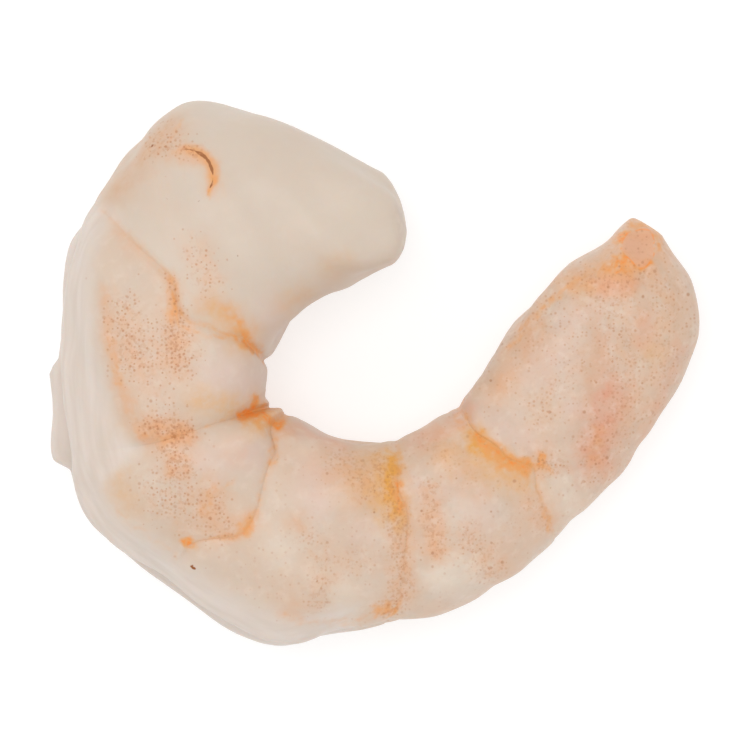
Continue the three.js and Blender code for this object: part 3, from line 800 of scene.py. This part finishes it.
# Cream: the flesh's own in places, and painted light that lifts the shade at the neck end and on the belly
# sides.
colour = tint(colour, cream_and_painted_light_colour, amount("cream_and_painted_light"))
colour = tint(colour, skin_tan, maths("MULTIPLY", amount("tan"), spread(noise(1.0), 0.3, 0.7, 0.6, 1)))
colour = tint(colour, muscle_white, amount("bare"))
fibre_place = add_node(tree, "ShaderNodeCombineXYZ", None, {
    0: maths("MULTIPLY", amount("round"), 1.2), 1: maths("MULTIPLY", amount("along"), 0.16)})
streaks = add_node(tree, "ShaderNodeTexNoise", None, {
    "Vector": fibre_place.outputs[0], "Scale": 1.0, "Detail": 3.0})
streak_share = maths("MULTIPLY", amount("bare"), spread(streaks.outputs["Fac"], 0.3, 0.7, 0, 0.45))
colour = tint(colour, fibre_grey, streak_share)
fibre_ends = maths("MULTIPLY", amount("cut"), spread(noise(0.8), 0.42, 0.6, 0, 0.5))
colour = tint(colour, fibre_grey, fibre_ends)
colour = tint(colour, blush_peach, maths("MULTIPLY", amount("blush"), spread(noise(1.3), 0.3, 0.7, 0.5, 1)))
dot_haze = maths("MULTIPLY", amount("dots"), spread(noise(0.7), 0.4, 0.62, 0.05, 0.38))
colour = tint(colour, blush_peach, dot_haze)
colour = tint(colour, blood_rose, maths("MULTIPLY", amount("rose"), spread(noise(1.1), 0.3, 0.7, 0.45, 0.8)))
# Pale flecks, partly the flesh's own grain and partly painted highlights in place of the moist surface's
# glints.
colour = tint(colour, pale_fleck_and_painted_glint, maths("MULTIPLY", amount("fleck_and_painted_glint"), spread(noise(0.8), 0.5, 0.72)))
colour = tint(colour, wet_grey, maths("MULTIPLY", spread(noise(1.6), 0.45, 0.75, 0, 0.25), amount("skin")))
colour = tint(colour, milky_white, maths("MULTIPLY", spread(noise(0.9), 0.5, 0.75, 0, 0.25), amount("skin")))
colour = tint(colour, fat_yellow, maths("MULTIPLY", feathered("yellow", 0.6), 0.85))
colour = tint(colour, stain_orange, spread(feathered("stain", 0.6), 0.05, 0.8, 0, 0.9))
colour = tint(colour, knot_orange, spread(feathered("stain", 0.35), 0.55, 1.3, 0, 0.95))
scar_edge = maths("MULTIPLY_ADD", noise(0.7), 0.08, amount("scar"))
colour = tint(colour, scar_peach, spread(scar_edge, 0.5, 0.58, 0, 0.85))
scar_rim = maths("MULTIPLY", spread(scar_edge, 0.46, 0.51), spread(scar_edge, 0.56, 0.51))
colour = tint(colour, knot_orange, maths("MULTIPLY", scar_rim, spread(noise(0.9), 0.42, 0.58, 0, 0.7)))

# The vein's line is worked out from its arc, so that it can be finer than the mesh.
seen_from_above = add_node(tree, "ShaderNodeVectorMath", dict(operation="MULTIPLY"), {0: place, 1: (1, 1, 0)})
arc_middle = (vein_arc["x"] * mm, vein_arc["y"] * mm, 0)
to_middle = add_node(tree, "ShaderNodeVectorMath", dict(operation="DISTANCE"), {
    0: seen_from_above.outputs[0], 1: arc_middle})
off_arc = maths("ABSOLUTE", maths("SUBTRACT", to_middle.outputs["Value"], vein_arc["radius"] * mm))
off_arc = maths("MULTIPLY_ADD", off_arc, 1 / mm, maths("MULTIPLY_ADD", noise(0.5), 0.3, -0.15))
glow = maths("MULTIPLY", spread(off_arc, 0.05, 0.75, 0.8, 0), spread(amount("vein"), 0.2, 0.75))
colour = tint(colour, stain_orange, glow)
# Half the line's width, in mm. It falls below 0, and the line ends, where the field is weak.
line_half_width = maths("MULTIPLY_ADD", spread(amount("vein"), 0.3, 0.95), 0.17, -0.025)
vein = spread(maths("SUBTRACT", line_half_width, off_arc), 0, 0.07, 0, 0.88)
colour = tint(colour, vein_brown, vein)
colour = tint(colour, vein_brown, spread(amount("speck"), 0.4, 0.6))

# The dots: a stipple too fine to see singly, small dots on the flanks and the sides, and a few larger ones.
stipple = spread(maths("MULTIPLY_ADD", amount("dots"), 0.1, noise(0.3, 2.0)), 0.58, 0.68)
colour = tint(colour, dot_orange, maths("MULTIPLY", maths("MULTIPLY", stipple, amount("dots")), 0.35))
dot_strength = maths("MULTIPLY", maths("MULTIPLY_ADD", amount("dots"), 0.36, 0.44), amount("dot_depth"))
on_flank = maths("MULTIPLY", amount("dots"), amount("flank"))
on_side = maths("SUBTRACT", amount("dots"), on_flank)
for dots in (specks(0.34, 0.1, on_flank, "2D"), specks(0.28, 0.12, on_side, "3D")):
    colour = tint(colour, dot_orange, maths("MULTIPLY", dots, dot_strength))
large_dots = specks(0.9, 0.13, maths("MULTIPLY", on_flank, 0.3), "2D")
colour = tint(colour, dot_brown, maths("MULTIPLY", large_dots, 0.6))
tree.links.new(colour, shader.inputs["Base Color"])

shader.inputs["Roughness"].default_value = 0.48
shader.inputs["IOR"].default_value = 1.38
shader.inputs["Subsurface Weight"].default_value = 0.3
shader.inputs["Subsurface Radius"].default_value = (1.0, 0.5, 0.3)
shader.inputs["Subsurface Scale"].default_value = 0.8 * mm
shader.inputs["Coat Weight"].default_value = 0.12
shader.inputs["Coat Roughness"].default_value = 0.25
# A fine grain breaks up the shine.
grain = add_node(tree, "ShaderNodeTexNoise", None, {"Vector": place, "Scale": 1 / (0.45 * mm), "Detail": 4.0})
bump = add_node(tree, "ShaderNodeBump", None, {
    "Height": grain.outputs["Fac"], "Strength": 0.35, "Distance": 0.06 * mm})
tree.links.new(bump.outputs["Normal"], shader.inputs["Normal"])

# The fine relief: muscle fibres run along what the slit bared, and the skin puckers a little all over, as
# it shrinks when it is cooked. A geometry tree lays both on the surface, along its normals.
relief_tree = bpy.data.node_groups.new("fine_relief", "GeometryNodeTree")
relief_tree.interface.new_socket("Geometry", in_out="INPUT", socket_type="NodeSocketGeometry")
relief_inputs = {
    "Fibre spacing": 0.95,  # mm, as the other sizes
    "Fibre height": 0.06,
    "Pucker size": 1.3,
    "Pucker height": 0.06,
    "Seed": 4.0,
}
relief_sockets = {
    name: relief_tree.interface.new_socket(name, in_out="INPUT", socket_type="NodeSocketFloat").identifier
    for name in relief_inputs
}
relief_tree.interface.new_socket("Geometry", in_out="OUTPUT", socket_type="NodeSocketGeometry")
given = add_node(relief_tree, "NodeGroupInput")


def reading(name):
    """A field of the mesh, in the geometry tree."""
    node = add_node(relief_tree, "GeometryNodeInputNamedAttribute", dict(data_type="FLOAT"), {"Name": name})
    return node.outputs["Attribute"]


def reckon(operation, *values):
    node = add_node(relief_tree, "ShaderNodeMath", dict(operation=operation), dict(enumerate(values)))
    return node.outputs[0]


along_share = 0.14  # fibres are about seven times as long as they are wide
across_fibres = reckon("DIVIDE", reading("round"), given.outputs["Fibre spacing"])
along_fibres = reckon("MULTIPLY", reading("along"), along_share)
along_fibres = reckon("DIVIDE", along_fibres, given.outputs["Fibre spacing"])
fibre_at = add_node(relief_tree, "ShaderNodeCombineXYZ", None, {
    0: across_fibres, 1: along_fibres, 2: given.outputs["Seed"]})
fibre_noise = add_node(relief_tree, "ShaderNodeTexNoise", None, {
    "Vector": fibre_at.outputs[0], "Scale": 1.0, "Detail": 2.0})
fibres = reckon("SUBTRACT", fibre_noise.outputs["Fac"], 0.5)
fibres = reckon("MULTIPLY", fibres, given.outputs["Fibre height"])
fibres = reckon("MULTIPLY", fibres, reckon("ADD", reading("bare"), 0.12))

position = add_node(relief_tree, "GeometryNodeInputPosition").outputs[0]
pucker_at = add_node(relief_tree, "ShaderNodeVectorMath", dict(operation="SCALE"), {
    0: position, "Scale": reckon("DIVIDE", 1 / mm, given.outputs["Pucker size"])})
pucker_noise = add_node(relief_tree, "ShaderNodeTexNoise", None, {
    "Vector": pucker_at.outputs[0], "Scale": 1.0, "Detail": 3.0})
puckers = reckon("SUBTRACT", pucker_noise.outputs["Fac"], 0.5)
puckers = reckon("MULTIPLY", puckers, given.outputs["Pucker height"])
puckers = reckon("MULTIPLY", puckers, reckon("MULTIPLY_ADD", reading("cut"), 2.0, 1.0))
height = reckon("MULTIPLY", reckon("ADD", fibres, puckers), mm)
normal = add_node(relief_tree, "GeometryNodeInputNormal").outputs[0]
offset = add_node(relief_tree, "ShaderNodeVectorMath", dict(operation="SCALE"), {0: normal, "Scale": height})
moved = add_node(relief_tree, "GeometryNodeSetPosition", None, {
    "Geometry": given.outputs["Geometry"], "Offset": offset.outputs[0]})

# What would now lie under the table is flattened again.
new_place = add_node(relief_tree, "ShaderNodeSeparateXYZ", None, {
    0: add_node(relief_tree, "GeometryNodeInputPosition").outputs[0]})
flattened = add_node(relief_tree, "ShaderNodeCombineXYZ", None, {
    0: new_place.outputs[0], 1: new_place.outputs[1], 2: reckon("MAXIMUM", new_place.outputs[2], 0.0)})
resting = add_node(relief_tree, "GeometryNodeSetPosition", None, {
    "Geometry": moved.outputs[0], "Position": flattened.outputs[0]})
smooth = add_node(relief_tree, "GeometryNodeSetShadeSmooth", None, {"Geometry": resting.outputs[0]})
realized = add_node(relief_tree, "GeometryNodeRealizeInstances", None, {"Geometry": smooth.outputs[0]})
finished = add_node(relief_tree, "GeometryNodeSetMaterial", None, {
    "Geometry": realized.outputs[0], "Material": flesh})
add_node(relief_tree, "NodeGroupOutput", None, {"Geometry": finished.outputs[0]})

fine_relief = meat.modifiers.new("fine_relief", "NODES")
fine_relief.node_group = relief_tree
for name, value in relief_inputs.items():
    fine_relief[relief_sockets[name]] = value
evaluated = meat.evaluated_get(bpy.context.evaluated_depsgraph_get())
finished_mesh = bpy.data.meshes.new_from_object(evaluated)
finished_mesh.name = "shrimp_meat"
meat.modifiers.remove(fine_relief)
meat.data = finished_mesh

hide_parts("peeled_shrimp")
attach(meat, "root")
